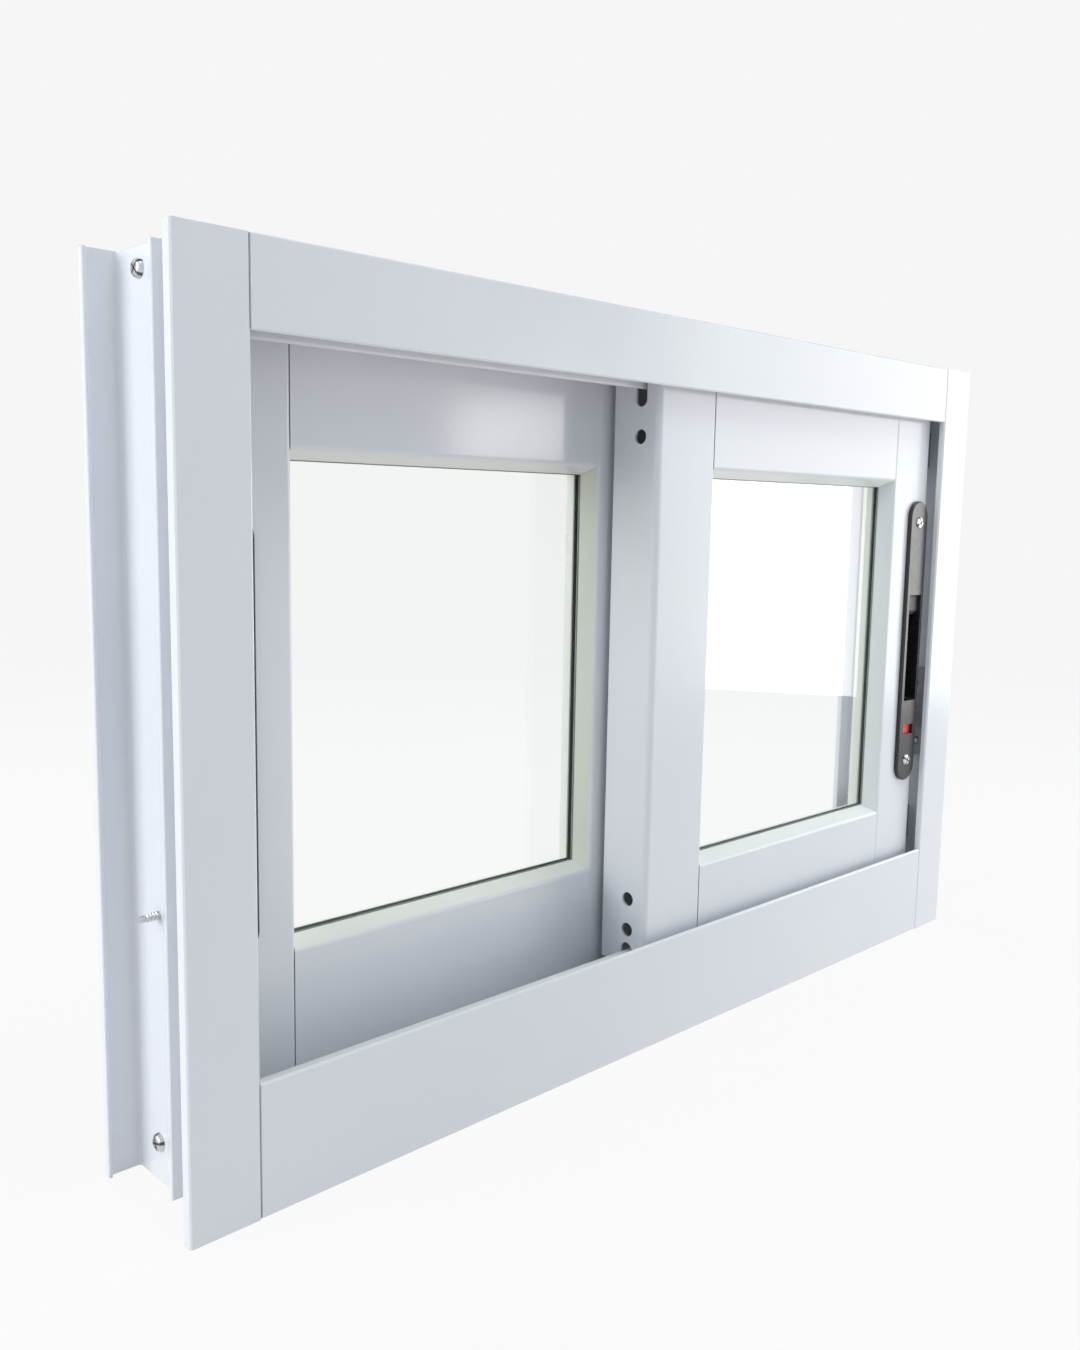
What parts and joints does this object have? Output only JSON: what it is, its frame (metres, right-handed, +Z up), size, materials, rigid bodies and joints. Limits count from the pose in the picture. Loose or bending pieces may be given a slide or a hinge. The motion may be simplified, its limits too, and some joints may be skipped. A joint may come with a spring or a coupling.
{
  "type": "horizontal sliding window",
  "caption": "Small two-track horizontal sliding window: a white extruded frame with two glazed sashes that slide past each other on rollers, each with a recessed black lock.",
  "frame": {"origin": "middle of the frame's footprint, on the level face that it rests on", "axes": "+X to the right as seen from indoors, along the tracks; +Y from the indoor face to the outdoor face; +Z up"},
  "size_m": [0.612, 0.077, 0.4],
  "materials": {
    "frame_coat": "white powder coat",
    "sash_coat": "white powder coat",
    "pane": "clear float glass",
    "gasket": "matt",
    "zinc": "zinc plated",
    "wheel": "satin",
    "guide": "matt",
    "block": "matt",
    "lock_black": "satin black",
    "slider_grey": "satin grey",
    "indicator_red": "gloss red"
  },
  "bodies": {
    "frame": {"left_jamb": "frame_coat", "right_jamb": "frame_coat", "head": "frame_coat", "sill": "frame_coat", "left_lock_keeper": "zinc", "right_lock_keeper": "zinc", "left_stop_blocks": "block", "right_stop_blocks": "block"},
    "front_sash": {"front_meeting_stile": "sash_coat", "front_lock_stile": "sash_coat", "front_top_rail": "sash_coat", "front_bottom_rail": "sash_coat", "front_interlock": "sash_coat", "front_glass": "pane", "front_glass_gasket": "gasket", "front_glazing_beads": "sash_coat", "front_roller_housings": "zinc", "front_roller_wheels": "wheel", "front_top_guides": "guide", "front_lock_plate": "lock_black", "front_lock_indicator": "indicator_red"},
    "rear_sash": {"rear_meeting_stile": "sash_coat", "rear_lock_stile": "sash_coat", "rear_top_rail": "sash_coat", "rear_bottom_rail": "sash_coat", "rear_interlock": "sash_coat", "rear_glass": "pane", "rear_glass_gasket": "gasket", "rear_glazing_beads": "sash_coat", "rear_roller_housings": "zinc", "rear_roller_wheels": "wheel", "rear_top_guides": "guide", "rear_lock_plate": "lock_black", "rear_lock_indicator": "indicator_red"},
    "front_lock_slide_body": {"front_lock_slider": "slider_grey"},
    "rear_lock_slide_body": {"rear_lock_slider": "slider_grey"}
  },
  "joints": [
    {"name": "front_sash_slide", "type": "slide", "parent": "frame", "child": "front_sash", "axis": [-1, 0, 0], "range_m": [0, 0.251]},
    {"name": "rear_sash_slide", "type": "slide", "parent": "frame", "child": "rear_sash", "axis": [1, 0, 0], "range_m": [0, 0.251]},
    {"name": "front_lock_slide", "type": "slide", "parent": "front_sash", "child": "front_lock_slide_body", "axis": [0, 0, -1], "range_m": [0, 0.01]},
    {"name": "rear_lock_slide", "type": "slide", "parent": "rear_sash", "child": "rear_lock_slide_body", "axis": [0, 0, -1], "range_m": [0, 0.01]}
  ]
}
